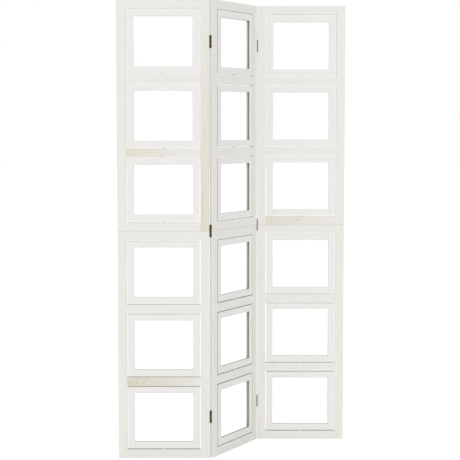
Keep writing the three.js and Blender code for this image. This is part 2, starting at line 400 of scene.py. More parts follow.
def eased_block_tree():
    """A block with rounded edges, about the origin. The upright edges on its outer side can be
    rounded more: the side is -1, 1 or 0 for none. The attribute edge_rub is 0 on the flat
    sides and grows towards the middle of each rounded edge, where sanding and hands wear the
    finish. A second attribute holds painted shade, which the finish turns grey. It follows
    three inputs: how much painted shade the sides that face -X and -Z take, the ones that
    face +X and +Z, and the upright edge at the back of the outer side."""
    tree, given = new_tree(
        "eased_block",
        size=Vector((1, 1, 1)),
        ease=0.1,
        outer_ease=0.1,
        outer_side=0.0,
        thin_low=Vector(),
        thin_high=Vector(),
        worn_edge=0.0,
    )
    # Each face has five by five squares. The two lines of vertices in the middle go to where
    # the rounding starts, and the ones outside them go round it to the next face.
    block = add(
        tree,
        "GeometryNodeMeshCube",
        {"Size": (2, 2, 2), "Vertices X": 6, "Vertices Y": 6, "Vertices Z": 6},
    )
    corner = add(tree, "GeometryNodeInputPosition")
    way = add(tree, "ShaderNodeVectorMath", (corner,), operation="SIGN")
    side = add(tree, "ShaderNodeVectorMath", (corner,), operation="ABSOLUTE")
    for operation, values in (
        ("MULTIPLY_ADD", ((1.25,) * 3, (-0.25,) * 3)),
        ("MAXIMUM", ((0, 0, 0),)),
        ("MULTIPLY", (way,)),
    ):
        side = add(tree, "ShaderNodeVectorMath", (side, *values), operation=operation)
    along = add(tree, "ShaderNodeSeparateXYZ", (corner,)).outputs["X"]
    outer = add(tree, "ShaderNodeMath", (along, given["outer_side"]), operation="MULTIPLY")
    outer = add(tree, "ShaderNodeMath", (outer, 0.0), operation="GREATER_THAN")
    more = add(
        tree, "ShaderNodeMath", (given["outer_ease"], given["ease"]), operation="SUBTRACT"
    )
    around = add(
        tree, "ShaderNodeMath", (outer, more, given["ease"]), operation="MULTIPLY_ADD"
    )
    ease = add(tree, "ShaderNodeCombineXYZ", (around, around, given["ease"]))
    core = add(
        tree, "ShaderNodeVectorMath", (given["size"], (0.5,) * 3), operation="MULTIPLY"
    )
    core = add(tree, "ShaderNodeVectorMath", (core, ease), operation="SUBTRACT")
    inner = add(tree, "ShaderNodeVectorMath", (way, core), operation="MULTIPLY")
    outward = add(tree, "ShaderNodeVectorMath", (side,), operation="NORMALIZE")
    outward = add(tree, "ShaderNodeVectorMath", (outward, ease), operation="MULTIPLY")
    rounded = add(tree, "ShaderNodeVectorMath", (inner, outward), operation="ADD")

    # The side's length is 1 on a flat side, and root two in the middle of a rounded edge.
    met = add(tree, "ShaderNodeVectorMath", (side, side), operation="DOT_PRODUCT")
    rub = add(tree, "ShaderNodeMath", (met.outputs["Value"], 2.0), operation="MINIMUM")
    rub = add(tree, "ShaderNodeMath", (rub, 1.0), operation="SUBTRACT")

    # Painted shade, which the finish turns grey: on the narrow sides by the two inputs, and on
    # the back of an outer upright edge.
    painted_shades = []
    for label, sign in (("thin_low", -1), ("thin_high", 1)):
        faced = add(tree, "ShaderNodeVectorMath", (side, (sign,) * 3), operation="MULTIPLY")
        faced = add(tree, "ShaderNodeVectorMath", (faced, (0, 0, 0)), operation="MAXIMUM")
        share = add(
            tree, "ShaderNodeVectorMath", (faced, given[label]), operation="DOT_PRODUCT"
        )
        painted_shades.append(share.outputs["Value"])
    across = add(tree, "ShaderNodeSeparateXYZ", (side,)).outputs
    broad = add(tree, "ShaderNodeMath", (across["Y"],), operation="ABSOLUTE")
    narrow = add(tree, "ShaderNodeMath", (1.0, broad), operation="SUBTRACT")
    gap_shade = add(tree, "ShaderNodeMath", tuple(painted_shades), operation="MAXIMUM")
    gap_shade = add(tree, "ShaderNodeMath", (gap_shade, narrow), operation="MULTIPLY")
    sideways = add(tree, "ShaderNodeMath", (across["X"],), operation="ABSOLUTE")
    # Painted shade greys the back of an outer upright edge.
    back_edge = across["Y"]
    for factor in (sideways, 2.0, outer):
        back_edge = add(tree, "ShaderNodeMath", (back_edge, factor), operation="MULTIPLY")
    back_edge = add(tree, "ShaderNodeClamp", (back_edge,))
    gap_shade = add(
        tree, "ShaderNodeMath", (back_edge, given["worn_edge"], gap_shade), operation="MULTIPLY_ADD"
    )
    for label, value in (("edge_rub", rub), ("thin_coat", gap_shade)):
        block = add(
            tree,
            "GeometryNodeStoreNamedAttribute",
            {"Geometry": block, "Name": label, "Value": value},
            data_type="FLOAT",
            domain="FACE",
        )
    block = add(
        tree, "GeometryNodeSetPosition", {"Geometry": block, "Position": rounded}
    )
    add(tree, "NodeGroupOutput", (block,))
    return tree


eased_block = eased_block_tree()

# What sets one board's wood off from another's: a seed for its place in the log, how thin the
# wash is from one place along the board to another, and where it has a knot, if it has one.
NO_KNOT = Vector((0, 0, 9))
FIGURE = {
    "seed": 0,
    "thin_start": 0.0,
    "thin_end": 0.0,
    "fade_start": 0.0,
    "fade_end": 1.0,
    "knot": NO_KNOT,
}


def figure_tree():
    """Gives a board that lies about its centre the attributes that its finish reads."""
    tree, given = new_tree(
        "board_figure", board=None, centre=Vector(), level=False, **FIGURE
    )
    local = add(tree, "GeometryNodeInputPosition")
    local = add(
        tree, "ShaderNodeVectorMath", (local, given["centre"]), operation="SUBTRACT"
    )
    parts = add(tree, "ShaderNodeSeparateXYZ", (local,)).outputs
    lying = add(tree, "ShaderNodeCombineXYZ", (parts["Z"], parts["Y"], parts["X"]))
    along = add(
        tree,
        "GeometryNodeSwitch",
        {"Switch": given["level"], "False": local, "True": lying},
        input_type="VECTOR",
    )
    # The pith is behind the board's face, a little to one side.
    from_pith = add(
        tree,
        "FunctionNodeRandomValue",
        {
            0: Vector((-22, 35, -3000)) * MM,
            1: Vector((22, 95, 3000)) * MM,
            "Seed": given["seed"],
        },
        data_type="FLOAT_VECTOR",
    )
    in_log = add(tree, "ShaderNodeVectorMath", (along, from_pith), operation="ADD")
    from_knot = add(
        tree, "ShaderNodeVectorMath", (along, given["knot"]), operation="SUBTRACT"
    )
    distance = add(tree, "ShaderNodeSeparateXYZ", (along,)).outputs["Z"]
    ends = [given[label] for label in ("fade_start", "fade_end", "thin_start", "thin_end")]
    thin = add(
        tree, "ShaderNodeMapRange", (distance, *ends), interpolation_type="SMOOTHSTEP"
    )
    board = given["board"]
    for label, value, kind in (
        ("log_place", in_log, "FLOAT_VECTOR"),
        ("thin_wash", thin, "FLOAT"),
        ("knot_place", from_knot, "FLOAT_VECTOR"),
    ):
        board = add(
            tree,
            "GeometryNodeStoreNamedAttribute",
            {"Geometry": board, "Name": label, "Value": value},
            data_type=kind,
            domain="POINT",
        )
    add(tree, "NodeGroupOutput", (board,))
    return tree


board_figure = figure_tree()


def end_tree(tree, given, shape, finish, offset):
    """Ends a tree: the work goes to its height, and then to its panel's place and turn."""
    turned = add(tree, "ShaderNodeCombineXYZ", (0.0, 0.0, given["turn"]))
    shape = add(
        tree, "GeometryNodeTransform", {"Geometry": shape, "Translation": offset}
    )
    shape = add(
        tree,
        "GeometryNodeTransform",
        {"Geometry": shape, "Translation": given["place"], "Rotation": turned},
    )
    shape = add(tree, "GeometryNodeRealizeInstances", (shape,))
    if finish:
        shape = add(
            tree, "GeometryNodeSetMaterial", {"Geometry": shape, "Material": finish}
        )
    add(tree, "NodeGroupOutput", (shape,))
    return tree


def make(name, tree, body, slot, replaced=None, **values):
    """Runs a tree with these inputs, and makes its result a plain mesh that rides on a body."""
    mesh = bpy.data.meshes.new(name)
    piece = bpy.data.objects.new(name, mesh)
    bpy.context.scene.collection.objects.link(piece)
    modifier = piece.modifiers.new("tree", "NODES")
    modifier.node_group = tree
    for socket in tree.interface.items_tree:
        if socket.in_out == "INPUT" and socket.name in values:
            modifier[socket.identifier] = values[socket.name]
    evaluated = piece.evaluated_get(bpy.context.evaluated_depsgraph_get())
    result = bpy.data.meshes.new_from_object(evaluated)
    piece.modifiers.remove(modifier)
    piece.data = result
    bpy.data.meshes.remove(mesh)
    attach(piece, body)
    if replaced:
        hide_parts(replaced)
    return piece


PLACE = {"place": Vector(), "turn": 0.0}


def stile_tree():
    """One length of a stile, in its panel's own frame."""
    tree, given = new_tree(
        "stile_length",
        size=Vector((BOARD_WIDTH, BOARD_THICKNESS, STILE_LENGTH)),
        ease=BOARD_EASE,
        outer_ease=OUTER_EASE,
        outer_side=0.0,
        worn_edge=BACK_EDGE_SHADE,
        centre=Vector(),
        mortise=MORTISE + Vector((CUT, 0, 0)),
        mortise_start=Vector(),
        mortise_step=Vector((0, 0, RAIL_PITCH)),
        mortises=RAILS_TO_A_HALF,
        pocket=Vector((LEAF_RECESS + CUT, LEAF_REACH + CUT, HINGE_HEIGHT + 2 * FIT)),
        pocket_start=Vector(),
        notch_radius=KNUCKLE_RADIUS + FIT,
        notch_start=Vector(),
        hinge_step=Vector((0, 0, HINGE_PITCH)),
        hinges=0,
        dowel_radius=DOWEL_RADIUS,
        dowel_length=2 * DOWEL_REACH,
        dowel_centre=Vector(),
        **FIGURE,
        **PLACE,
    )
    shaped = ("size", "ease", "outer_ease", "outer_side", "worn_edge")
    board = add(
        tree,
        "GeometryNodeGroup",
        {label: given[label] for label in shaped},
        node_tree=eased_block,
    )
    board = add(
        tree, "GeometryNodeTransform", {"Geometry": board, "Translation": given["centre"]}
    )
    chisel = add(tree, "GeometryNodeMeshCube", {"Size": given["mortise"]})
    recess = add(tree, "GeometryNodeMeshCube", {"Size": given["pocket"]})
    depth = add(tree, "ShaderNodeSeparateXYZ", (given["pocket"],)).outputs["Z"]
    gouge = add(
        tree,
        "GeometryNodeMeshCylinder",
        {"Vertices": 24, "Radius": given["notch_radius"], "Depth": depth},
    )
    for cutter, count, start, step in (
        (chisel, "mortises", "mortise_start", "mortise_step"),
        (recess, "hinges", "pocket_start", "hinge_step"),
        (gouge, "hinges", "notch_start", "hinge_step"),
    ):
        cutters = row_of(tree, cutter, given[count], given[start], given[step])
        board = add(
            tree,
            "GeometryNodeMeshBoolean",
            {"Mesh 1": board, "Mesh 2": cutters},
            **CUT_AWAY,
        )
    dowel = add(
        tree,
        "GeometryNodeMeshCylinder",
        {
            "Vertices": 24,
            "Radius": given["dowel_radius"],
            "Depth": given["dowel_length"],
        },
    )
    dowel = add(
        tree,
        "GeometryNodeTransform",
        {"Geometry": dowel, "Translation": given["dowel_centre"]},
    )
    board = add(tree, "GeometryNodeMeshBoolean", {"Mesh 2": [board, dowel]}, **GROW_TOGETHER)
    figure = {label: given[label] for label in FIGURE}
    board = add(
        tree,
        "GeometryNodeGroup",
        {"board": board, "centre": given["centre"], **figure},
        node_tree=board_figure,
    )
    return end_tree(tree, given, board, board_finish, (0, 0, 0))


stile_length = stile_tree()

# Boards whose wash is so thin that the pine shows, as from this place along the board to that,
# and the knots. A rail is measured from its middle, and a stile's length too.
THIN_WASH = {
    "left_panel_right_stile_upper": {
        "thin_start": 0.44,
        "thin_end": 0.06,
        "fade_start": -0.1,
        "fade_end": 0.15,
        "seed": 5,
    },
    "left_panel_rail_3": {
        "thin_start": 0.36,
        "thin_end": -0.04,
        "fade_start": -0.06,
        "fade_end": 0.05,
        "knot": Vector((-16, 0, -8)) * MM,
    },
    "left_panel_rail_7": {
        "thin_start": 0.64,
        "thin_end": 0.02,
        "fade_start": -0.06,
        "fade_end": 0.06,
    },
    "right_panel_rail_4": {
        "thin_start": 0.38,
        "thin_end": 0.02,
        "fade_start": -0.05,
        "fade_end": 0.05,
        "knot": Vector((4, 0, -10)) * MM,
    },
    "middle_panel_right_stile_lower": {
        "thin_start": 0.13,
        "thin_end": 0.08,
        "fade_start": -0.3,
        "fade_end": 0.3,
    },
}

hinged = {
    (panel, side): face
    for edges in HINGES.values()
    for panel, side, face, has_pin in edges
}
# Each half of a stile: its base, and the base of its lowest rail.
halves = {
    "lower": (0.0, rail_bases[-1]),
    "upper": (PANEL_HEIGHT - STILE_LENGTH, rail_bases[RAILS_TO_A_HALF - 1]),
}
board_seed = 0

for panel in places:
    for side_name, side in SIDES.items():
        inner_edge = side * (PANEL_WIDTH / 2 - BOARD_WIDTH)
        middle = inner_edge + side * BOARD_WIDTH / 2
        mortise_middle = inner_edge + side * (MORTISE.x - CUT) / 2
        face = hinged.get((panel, side), 0)
        pin = Vector((side * PIN_ALONG, face * PIN_ACROSS, hinge_centres[0]))
        pocket_along = side * (PANEL_WIDTH / 2 + (CUT - LEAF_RECESS) / 2)
        pocket_across = face * (PIN_ACROSS - (LEAF_REACH - CUT) / 2)
        dowel_middle = STILE_LENGTH + HALF_JOINT - DOWEL_REACH
        for half, (base, rail_base) in halves.items():
            node = f"{panel}_panel_{side_name}_stile"
            board_seed += 1
            values = {
                "seed": board_seed,
                "outer_side": float(side),
                "centre": Vector((middle, 0, base + STILE_LENGTH / 2)),
                "mortise_start": Vector((mortise_middle, 0, rail_base + BOARD_WIDTH / 2)),
                "hinges": len(HINGE_PLACES) if face else 0,
                "pocket_start": Vector((pocket_along, pocket_across, hinge_centres[0])),
                "notch_start": pin,
                "dowel_centre": Vector((middle, 0, dowel_middle)),
                "place": places[panel],
                "turn": turns[panel],
            }
            values.update(THIN_WASH.get(f"{node}_{half}", {}))
            make(
                f"{node}_{half}",
                stile_length,
                f"{panel}_panel",
                "whitewashed_board",
                node,
                **values,
            )


# ---- The rails ----
# Eight cross boards to a panel, from the same stock as the stiles. Each has a tenon at both
# ends, glued into the stiles' mortises, and a hole for the pivot of each picture frame beside
# it. The two at mid-height lie against each other.

CELL_WIDTH = PANEL_WIDTH - 2 * BOARD_WIDTH
GLUE_LINE = 0.05 * MM
TENON_LENGTH = 15 * MM
TENON = Vector((CELL_WIDTH + 2 * TENON_LENGTH, 6 * MM, 21 * MM))
PIVOT_RADIUS = 2.25 * MM
PIVOT_DEPTH = 10 * MM
RAIL_SIZE = Vector((CELL_WIDTH - 2 * GLUE_LINE, BOARD_THICKNESS, BOARD_WIDTH))

# What each rail at mid-height reaches beyond its solid, so that only the fine line is left.
upper_rail, lower_rail = RAILS_TO_A_HALF, RAILS_TO_A_HALF + 1
solid_gap = rail_bases[upper_rail - 1] - rail_bases[lower_rail - 1] - BOARD_WIDTH
CLOSING = (solid_gap - HALF_JOINT) / 2
reaches = {upper_rail: -CLOSING, lower_rail: CLOSING}


def rail_tree():
    """A rail, lying about its own middle."""
    tree, given = new_tree(
        "rail",
        size=RAIL_SIZE,
        ease=BOARD_EASE,
        tenon=TENON,
        hole_radius=PIVOT_RADIUS + FIT,
        hole_depth=2 * (PIVOT_DEPTH + FIT),
        hole_above=BOARD_WIDTH,
        hole_below=-BOARD_WIDTH,
        thin_high=Vector(),
        height=0.0,
        **FIGURE,
        **PLACE,
    )
    board = add(
        tree,
        "GeometryNodeGroup",
        {label: given[label] for label in ("size", "ease", "thin_high")},
        node_tree=eased_block,
    )
    tenons = add(tree, "GeometryNodeMeshCube", {"Size": given["tenon"]})
    board = add(tree, "GeometryNodeMeshBoolean", {"Mesh 2": [board, tenons]}, **GROW_TOGETHER)
    drill = add(
        tree,
        "GeometryNodeMeshCylinder",
        {"Vertices": 24, "Radius": given["hole_radius"], "Depth": given["hole_depth"]},
    )
    for hole in ("hole_above", "hole_below"):
        height = add(tree, "ShaderNodeCombineXYZ", (0.0, 0.0, given[hole]))
        cutter = add(
            tree, "GeometryNodeTransform", {"Geometry": drill, "Translation": height}
        )
        board = add(
            tree,
            "GeometryNodeMeshBoolean",
            {"Mesh 1": board, "Mesh 2": cutter},
            **CUT_AWAY,
        )
    figure = {label: given[label] for label in FIGURE}
    board = add(
        tree,
        "GeometryNodeGroup",
        {"board": board, "level": True, **figure},
        node_tree=board_figure,
    )
    offset = add(tree, "ShaderNodeCombineXYZ", (0.0, 0.0, given["height"]))
    return end_tree(tree, given, board, board_finish, offset)


rail_work = rail_tree()

for panel in places:
    for rail, base in zip(RAILS, rail_bases):
        node = f"{panel}_panel_rail_{rail}"
        board_seed += 1
        place_in_half = (rail - 1) % RAILS_TO_A_HALF
        under_frame = place_in_half > 0
        over_frame = place_in_half < RAILS_TO_A_HALF - 1
        reach = reaches.get(rail, 0.0)
        face_height = BOARD_WIDTH / 2
        miss = 2 * BOARD_WIDTH  # a drill here misses the rail
        values = {
            "seed": board_seed,
            "size": RAIL_SIZE + Vector((0, 0, abs(reach))),
            "height": base + (BOARD_WIDTH + reach) / 2,
            "hole_above": face_height if under_frame else miss,
            "hole_below": -face_height if over_frame else -miss,
            # Painted shade greys the top of a rail that has a picture frame above it, in the
            # gap.
            "thin_high": Vector((0, 0, float(under_frame))),
            "place": places[panel],
            "turn": turns[panel],
        }
        values.update(THIN_WASH.get(node, {}))
        make(
            f"{node}_board",
            rail_work,
            f"{panel}_panel",
            "whitewashed_board",
            node,
            **values,
        )


# ---- The picture frames ----
# Six to a panel, of the same thickness as the boards: two sides at full height with a top and
# a bottom glued between them, and a groove round the inside for the panes. The wash is a
# little fuller than on the boards, and the groove is left bare. The sides in the gaps round a
# frame, and the ones round its opening, are greyed with painted shade.

FRAME_GAP = 3 * MM
FRAME_THICKNESS = 14 * MM
FRAME_SIDE = 25.5 * MM
FRAME_TOP = 25 * MM
FRAME_EASE = 0.3 * MM
GROOVE_WIDTH = 7 * MM
GROOVE_DEPTH = 10 * MM
GROOVE_PLACE = -1.5 * MM  # nearer the front
CELL_HEIGHT = RAIL_PITCH - BOARD_WIDTH
FRAME_HEIGHT = CELL_HEIGHT - 2 * FRAME_GAP
FRAME_WIDTH = CELL_WIDTH - 2 * FRAME_GAP

frame_finish = whitewashed_pine("whitewashed_pine_frame", "#f4f3f0", "#f2f2f2", 0.98)


def bare_groove():
    """Bare pine, left rough by the grooving cutter. It gives the eye a pale greyish buff, with
    no sheen and with fine scores along the cut."""
    scoring = Vector((1 / 0.6, 1 / 0.6, 1 / 12)) / MM
    material = bpy.data.materials.new("bare_grooved_pine")
    material.use_nodes = True
    tree = material.node_tree
    tree.nodes.clear()
    place = add(tree, "ShaderNodeAttribute", attribute_name="log_place").outputs["Vector"]
    scores = add(tree, "ShaderNodeVectorMath", (place, scoring), operation="MULTIPLY")
    scores = add(tree, "ShaderNodeTexNoise", {"Vector": scores, "Scale": 1})
    colour = add(
        tree,
        "ShaderNodeMix",
        {0: scores, 6: linear("#d9d5cb"), 7: linear("#b7b2a5")},
        data_type="RGBA",
    )
    finish = add(
        tree,
        "ShaderNodeBsdfPrincipled",
        {"Base Color": colour.outputs[2], "Roughness": 0.85, "Specular IOR Level": 0.2},
    )
    add(tree, "ShaderNodeOutputMaterial", {"Surface": finish})
    return material


groove_finish = bare_groove()


def picture_frame_tree():
    """A picture frame about its own middle."""
    tree, given = new_tree(
        "picture_frame",
        width=FRAME_WIDTH,
        height=FRAME_HEIGHT,
        thickness=FRAME_THICKNESS,
        side_width=FRAME_SIDE,
        top_width=FRAME_TOP,
        ease=FRAME_EASE,
        glue_line=GLUE_LINE,
        groove_width=GROOVE_WIDTH,
        groove_depth=GROOVE_DEPTH,
        groove_place=GROOVE_PLACE,
        thin_outside=1.0,
        thin_inside=0.5,
        seed=0,
        lift=0.0,
        **PLACE,
    )
    width, height, thickness = (given[label] for label in ("width", "height", "thickness"))
    side_width, top_width = given["side_width"], given["top_width"]
    widen = {"operation": "MULTIPLY_ADD"}
    open_width = add(tree, "ShaderNodeMath", (side_width, -2.0, width), **widen)
    open_height = add(tree, "ShaderNodeMath", (top_width, -2.0, height), **widen)
    top_length = add(tree, "ShaderNodeMath", (given["glue_line"], -2.0, open_width), **widen)
    side_size = add(tree, "ShaderNodeCombineXYZ", (side_width, thickness, height))
    top_size = add(tree, "ShaderNodeCombineXYZ", (top_length, thickness, top_width))

    cut_width = add(tree, "ShaderNodeMath", (given["groove_depth"], 2.0, open_width), **widen)
    cut_height = add(
        tree, "ShaderNodeMath", (given["groove_depth"], 2.0, open_height), **widen
    )
    cutter = add(
        tree, "ShaderNodeCombineXYZ", (cut_width, given["groove_width"], cut_height)
    )
    cutter = add(tree, "GeometryNodeMeshCube", {"Size": cutter})
    place = add(tree, "ShaderNodeCombineXYZ", (0.0, given["groove_place"], 0.0))
    cutter = add(
        tree, "GeometryNodeTransform", {"Geometry": cutter, "Translation": place}
    )
    cutter = add(
        tree, "GeometryNodeSetMaterial", {"Geometry": cutter, "Material": groove_finish}
    )

    # The four members: left, bottom, right, top. Each has its size, the way to its middle,
    # whether it lies level, and how much painted shade greys the sides that face -X and -Z, and
    # +X and +Z: full on the outsides, in the gaps, and half round the opening. The underside of
    # the whole frame has none.
    outside, inside = given["thin_outside"], given["thin_inside"]
    side_reach = add(tree, "ShaderNodeMath", (width, side_width), operation="SUBTRACT")
    top_reach = add(tree, "ShaderNodeMath", (height, top_width), operation="SUBTRACT")
    reach = add(tree, "ShaderNodeCombineXYZ", (side_reach, 0.0, top_reach))
    members = []
    for index, (size, way, level, thin_low, thin_high) in enumerate(
        (
            (side_size, (-0.5, 0, 0), False, (outside, 0.0, 0.0), (inside, 0.0, outside)),
            (top_size, (0, 0, -0.5), True, (0.0, 0.0, 0.0), (0.0, 0.0, inside)),
            (side_size, (0.5, 0, 0), False, (inside, 0.0, 0.0), (outside, 0.0, outside)),
            (top_size, (0, 0, 0.5), True, (0.0, 0.0, inside), (0.0, 0.0, outside)),
        )
    ):
        middle = add(tree, "ShaderNodeVectorMath", (reach, way), operation="MULTIPLY")
        member = add(
            tree,
            "GeometryNodeGroup",
            {
                "size": size,
                "ease": given["ease"],
                "thin_low": add(tree, "ShaderNodeCombineXYZ", thin_low),
                "thin_high": add(tree, "ShaderNodeCombineXYZ", thin_high),
            },
            node_tree=eased_block,
        )
        member = add(
            tree, "GeometryNodeTransform", {"Geometry": member, "Translation": middle}
        )
        member = add(
            tree, "GeometryNodeSetMaterial", {"Geometry": member, "Material": frame_finish}
        )
        member = add(
            tree,
            "GeometryNodeMeshBoolean",
            {"Mesh 1": member, "Mesh 2": cutter},
            **CUT_AWAY,
        )
        seed = add(tree, "ShaderNodeMath", (given["seed"], float(index)), operation="ADD")
        member = add(
            tree,
            "GeometryNodeGroup",
            {"board": member, "centre": middle, "level": level, "seed": seed},
            node_tree=board_figure,
        )
        members.append(member)
    shape = add(tree, "GeometryNodeJoinGeometry", {"Geometry": members})
    offset = add(tree, "ShaderNodeCombineXYZ", (0.0, 0.0, given["lift"]))
    return end_tree(tree, given, shape, None, offset)


picture_frame_work = picture_frame_tree()
FRAMES_TO_A_HALF = RAILS_TO_A_HALF - 1
FRAMES = range(1, 2 * FRAMES_TO_A_HALF + 1)  # from the top down
MEMBERS = 4
rails_above = [frame_number + (frame_number - 1) // FRAMES_TO_A_HALF for frame_number in FRAMES]
frame_centres = [rail_bases[rail - 1] - CELL_HEIGHT / 2 for rail in rails_above]

for panel in places:
    for frame_number, centre in zip(FRAMES, frame_centres):
        board_seed += MEMBERS
        make(
            f"{panel}_frame_{frame_number}_members",
            picture_frame_work,
            f"{panel}_frame_{frame_number}",
            "whitewashed_frame",
            f"{panel}_picture_frame_{frame_number}",
            seed=board_seed,
            lift=centre,
            place=places[panel],
            turn=turns[panel],
        )


# ---- The pivots ----
# A moulded nylon pin above and below each picture frame, tight in the frame and loose in the
# rail, and a nylon washer on the lower one that carries the frame. They are left white.

WASHER_RADIUS = 5.5 * MM
PIN_IN_FRAME = 12 * MM
PIN_LENGTH = PIN_IN_FRAME + FRAME_GAP + PIVOT_DEPTH


def white_nylon():
    """Moulded nylon, which light enters a little way. It gives the eye a soft, bright white with
    a faint sheen on a finely grained skin."""
    grain_size = 0.3 * MM
    material = bpy.data.materials.new("white_nylon")
    material.use_nodes = True
    tree = material.node_tree
    tree.nodes.clear()
    place = add(tree, "ShaderNodeTexCoord").outputs["Object"]
    grain = add(
        tree, "ShaderNodeVectorMath", (place, (1 / grain_size,) * 3), operation="MULTIPLY"
    )
    grain = add(tree, "ShaderNodeTexNoise", {"Vector": grain, "Scale": 1, "Detail": 2})
    relief = add(
        tree, "ShaderNodeBump", {"Height": grain, "Distance": 0.02 * MM, "Strength": 0.4}
    )
    finish = add(
        tree,
        "ShaderNodeBsdfPrincipled",
        {
            "Base Color": linear("#fdfdfb"),
            "Roughness": 0.45,
            "Subsurface Weight": 0.6,
            "Subsurface Radius": (1, 1, 1),
            "Subsurface Scale": 1.5 * MM,
            "Normal": relief,
        },
    )
    add(tree, "ShaderNodeOutputMaterial", {"Surface": finish})
    return material


pivot_finish = white_nylon()


def pivot_tree():
    """The two pins and the washer of one picture frame, about the frame's middle."""
    tree, given = new_tree(
        "pivots",
        pin_radius=PIVOT_RADIUS,
        pin_length=PIN_LENGTH,
        pin_reach=FRAME_HEIGHT / 2 + FRAME_GAP + PIVOT_DEPTH - PIN_LENGTH / 2,
        washer_radius=WASHER_RADIUS,
        washer_thickness=FRAME_GAP - FIT,
        washer_reach=(FRAME_HEIGHT + FRAME_GAP - FIT) / 2,
        lift=0.0,
        **PLACE,
    )
    pin = add(
        tree,
        "GeometryNodeMeshCylinder",
        {"Vertices": 20, "Radius": given["pin_radius"], "Depth": given["pin_length"]},
    )
    washer = add(
        tree,
        "GeometryNodeMeshCylinder",
        {
            "Vertices": 32,
            "Radius": given["washer_radius"],
            "Depth": given["washer_thickness"],
        },
    )
    placed = []
    for part, label, way in (
        (pin, "pin_reach", 1.0),
        (pin, "pin_reach", -1.0),
        (washer, "washer_reach", -1.0),
    ):
        height = add(tree, "ShaderNodeMath", (given[label], way), operation="MULTIPLY")
        height = add(tree, "ShaderNodeCombineXYZ", (0.0, 0.0, height))
        part = add(
            tree, "GeometryNodeTransform", {"Geometry": part, "Translation": height}
        )
        placed.append(part)
    upper, *lower = placed
    lower = add(tree, "GeometryNodeMeshBoolean", {"Mesh 2": lower}, **GROW_TOGETHER)
    shape = add(tree, "GeometryNodeJoinGeometry", {"Geometry": [upper, lower]})
    offset = add(tree, "ShaderNodeCombineXYZ", (0.0, 0.0, given["lift"]))
    return end_tree(tree, given, shape, pivot_finish, offset)


pivot_work = pivot_tree()

for panel in places:
    for frame_number, centre in zip(FRAMES, frame_centres):
        make(
            f"{panel}_frame_{frame_number}_pivots",
            pivot_work,
            f"{panel}_frame_{frame_number}",
            "whitewashed_frame",
            lift=centre,
            place=places[panel],
            turn=turns[panel],
        )


# ---- The hinges ----
# Narrow butt hinges of pressed steel with an antique bronze finish. Each leaf is rolled into
# knuckles round a pin, and let into the edge of its stile, flush with the wood.

LEAF_THICKNESS = 0.8 * MM
LEAF_PLACE = -0.55 * MM  # the middle of the leaf's thickness, along the panel from the pin
LEAF_EASE = 0.2 * MM
KNUCKLES = 5
KNUCKLE_HEIGHT = (HINGE_HEIGHT - (KNUCKLES - 1) * FIT) / KNUCKLES
HINGE_PIN_RADIUS = 0.9 * MM
HINGE_BORE_RADIUS = 1.2 * MM
SCREW_RADIUS = 2.9 * MM
SCREW_PLAY = 0.15 * MM
SCREW_SPREAD = 17 * MM  # from the hinge's middle to each screw
SCREW_PLACE = 5.8 * MM  # from the pin's axis to the screws
SCREWS_TO_A_LEAF = 2


def antique_bronze(name, colour, rubbed_colour):
    """Steel with a darkened bronze finish, tumbled so that the brass colour shows again where
    it is rubbed. It gives the eye a dark olive brown with a satin sheen and lighter specks."""
    cloud_size = 5 * MM
    grit_size = 0.5 * MM
    material = bpy.data.materials.new(name)
    material.use_nodes = True
    tree = material.node_tree
    tree.nodes.clear()
    place = add(tree, "ShaderNodeTexCoord").outputs["Object"]
    clouds, grit = (
        add(
            tree,
            "ShaderNodeTexNoise",
            {
                "Vector": add(
                    tree, "ShaderNodeVectorMath", (place, (1 / size,) * 3), operation="MULTIPLY"
                ),
                "Scale": 1,
                "Detail": detail,
            },
        )
        for size, detail in ((cloud_size, 4), (grit_size, 2))
    )
    rubbed = add(tree, "ShaderNodeMapRange", (clouds, 0.45, 0.75, 0.0, 0.7))
    base = add(
        tree,
        "ShaderNodeMix",
        {0: rubbed, 6: linear(colour), 7: linear(rubbed_colour)},
        data_type="RGBA",
    )
    roughness = add(tree, "ShaderNodeMapRange", (grit, 0.0, 1.0, 0.35, 0.6))
    relief = add(
        tree, "ShaderNodeBump", {"Height": grit, "Distance": 0.03 * MM, "Strength": 0.4}
    )
    finish = add(
        tree,
        "ShaderNodeBsdfPrincipled",
        {
            "Base Color": base.outputs[2],
            "Metallic": 1.0,
            "Roughness": roughness,
            "Normal": relief,
        },
    )
    add(tree, "ShaderNodeOutputMaterial", {"Surface": finish})
    return material


leaf_finish = antique_bronze("antique_bronze_leaf", "#7f7862", "#9f967a")


def hinge_offset(tree, given):
    """From the panel's middle to the middle of a hinge's pin."""
    along = add(tree, "ShaderNodeMath", (given["side"], PIN_ALONG), operation="MULTIPLY")
    across = add(tree, "ShaderNodeMath", (given["face"], PIN_ACROSS), operation="MULTIPLY")
    return add(tree, "ShaderNodeCombineXYZ", (along, across, given["lift"]))


def screw_row(tree, given, along):
    """Where a leaf's screws start, from the middle of the pin, and the step between them."""
    times = {"operation": "MULTIPLY"}
    across = add(tree, "ShaderNodeMath", (given["screw_place"], -1.0), **times)
    across = add(tree, "ShaderNodeMath", (across, given["face"]), **times)
    down = add(tree, "ShaderNodeMath", (given["screw_spread"], -1.0), **times)
    up = add(tree, "ShaderNodeMath", (given["screw_spread"], 2.0), **times)
    start = add(tree, "ShaderNodeCombineXYZ", (along, across, down))
    return start, add(tree, "ShaderNodeCombineXYZ", (0.0, 0.0, up))


